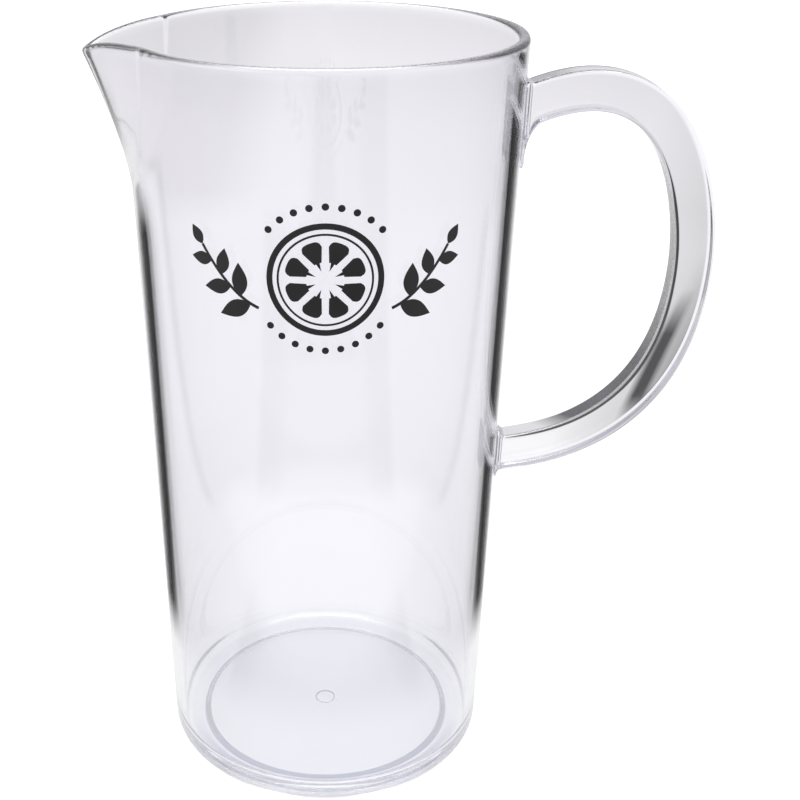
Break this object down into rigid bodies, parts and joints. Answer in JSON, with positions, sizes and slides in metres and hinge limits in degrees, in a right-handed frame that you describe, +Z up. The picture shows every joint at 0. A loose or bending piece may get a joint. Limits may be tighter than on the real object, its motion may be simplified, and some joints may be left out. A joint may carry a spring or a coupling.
{
  "type": "pitcher",
  "caption": "Clear tapered pitcher with a rounded rim, a beaked spout drawn out of the wall, a recessed base and a D-shaped handle cemented on by flared feet.",
  "frame": {"origin": "on the cup's axis, in the plane of the foot ring that rests on the table", "axes": "Z up along the cup's axis, +X towards the handle, -X towards the spout, +Y across, to the left of someone looking along +X from the spout to the handle"},
  "size_m": [0.1914, 0.118, 0.24],
  "materials": {
    "clear_plastic": "clear, polished, faintly cool",
    "cement": "clear, slightly hazy film"
  },
  "bodies": {
    "root": {"body": "clear_plastic", "handle": "clear_plastic", "upper_bond": "cement", "lower_bond": "cement"}
  },
  "joints": []
}
